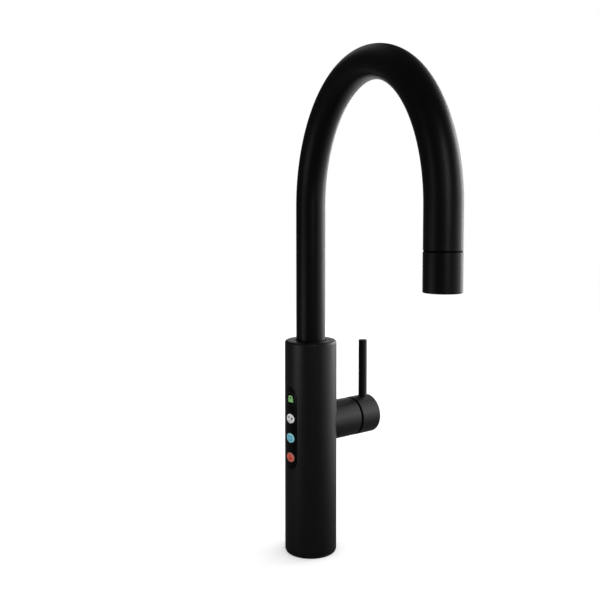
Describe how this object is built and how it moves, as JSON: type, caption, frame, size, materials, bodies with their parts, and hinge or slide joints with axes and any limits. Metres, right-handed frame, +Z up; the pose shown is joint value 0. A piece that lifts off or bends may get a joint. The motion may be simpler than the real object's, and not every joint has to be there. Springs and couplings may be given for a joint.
{
  "type": "boiling water tap",
  "caption": "Tall round worktop tap with a swivelling gooseneck spout, a side mixer hub with a tilting and turning pin lever, and a strip of pressable keys on the other side.",
  "frame": {"origin": "centre of the body's foot on the worktop plane", "axes": "+Z up, -Y towards the body's front, +X along the mixer hub, -X towards the key strip"},
  "size_m": [0.1495, 0.2647, 0.5205],
  "materials": {
    "matt_black": "matt black powder coat",
    "brass": "machined brass",
    "steel": "stainless steel",
    "rubber": "black sealing rubber",
    "white_plastic": "natural acetal",
    "grey_plastic": "grey acetal",
    "black_plastic": "black moulded plastic",
    "clear_tube": "natural food grade tube",
    "ceramic": "polished white ceramic",
    "gloss_black": "polished black panel",
    "circuit_board": "green board",
    "key_black": "black key cap with a lit green symbol",
    "key_white": "white key cap",
    "key_blue": "light blue key cap",
    "key_red": "coral red key cap"
  },
  "bodies": {
    "tap_body": {"body_shell": "matt_black", "base_gasket": "rubber", "base_plate": "brass", "mounting_shank": "brass", "clamp_rubber": "rubber", "clamp_washer": "steel", "shank_nut": "brass", "stay_rod_front": "steel", "stay_nut_front": "steel", "stay_rod_back": "steel", "stay_nut_back": "steel", "mixer_housing": "brass", "inner_tube_seal": "rubber", "cartridge_seal": "rubber", "cartridge_body": "white_plastic", "fixed_disc": "ceramic", "cartridge_nut": "brass", "hub_sleeve": "matt_black", "swivel_washer": "black_plastic", "swivel_bush": "black_plastic", "stop_screw": "steel", "touch_panel": "gloss_black", "key_mat": "rubber", "key_board": "circuit_board", "panel_carrier": "black_plastic", "lead_connector": "white_plastic"},
    "spout": {"spout_tube": "matt_black", "filtered_tube": "clear_tube", "spout_spigot": "brass", "spigot_oring_lower": "rubber", "spigot_oring_upper": "rubber", "nozzle_core": "matt_black", "nozzle_oring": "rubber", "nozzle_sleeve": "matt_black", "aerator_insert": "white_plastic", "aerator_seal": "rubber"},
    "temperature_carrier": {"cartridge_driver": "grey_plastic", "stem_pivot_pin": "steel"},
    "moving_disc": {"moving_disc": "ceramic"},
    "mixer_lever": {"lever_stem": "steel", "lever_knob": "matt_black", "lever_pin": "matt_black", "knob_screw": "steel", "knob_screw_plug": "rubber"},
    "lock_key_cap": {"lock_key": "key_black"},
    "sparkling_key_cap": {"sparkling_key": "key_white"},
    "chilled_key_cap": {"chilled_key": "key_blue"},
    "boiling_key_cap": {"boiling_key": "key_red"}
  },
  "joints": [
    {"name": "spout_swivel", "type": "hinge", "parent": "tap_body", "child": "spout", "pos_m": [0, 0, 0.1924], "axis": [0, 0, 1], "range_deg": [-60, 90]},
    {"name": "lever_turn", "type": "hinge", "parent": "tap_body", "child": "temperature_carrier", "pos_m": [0.032, 0, 0.1237], "axis": [1, 0, 0], "range_deg": [-45, 45]},
    {"name": "lever_tilt", "type": "hinge", "parent": "temperature_carrier", "child": "mixer_lever", "pos_m": [0.032, 0, 0.1237], "axis": [0, 1, 0], "range_deg": [0, 18]},
    {"name": "disc_slide", "type": "slide", "parent": "temperature_carrier", "child": "moving_disc", "axis": [0, 0, 1], "range_m": [0, 0.003]},
    {"name": "lock_press", "type": "slide", "parent": "tap_body", "child": "lock_key_cap", "axis": [1, 0, 0], "range_m": [0, 0.0005], "stiffness_N_per_m": 300, "springref_m": -0.001},
    {"name": "sparkling_press", "type": "slide", "parent": "tap_body", "child": "sparkling_key_cap", "axis": [1, 0, 0], "range_m": [0, 0.0005], "stiffness_N_per_m": 300, "springref_m": -0.001},
    {"name": "chilled_press", "type": "slide", "parent": "tap_body", "child": "chilled_key_cap", "axis": [1, 0, 0], "range_m": [0, 0.0005], "stiffness_N_per_m": 300, "springref_m": -0.001},
    {"name": "boiling_press", "type": "slide", "parent": "tap_body", "child": "boiling_key_cap", "axis": [1, 0, 0], "range_m": [0, 0.0005], "stiffness_N_per_m": 300, "springref_m": -0.001}
  ],
  "couplings": [
    {"joint": "disc_slide", "follows": "lever_tilt", "m_per_rad": 0.00915}
  ]
}
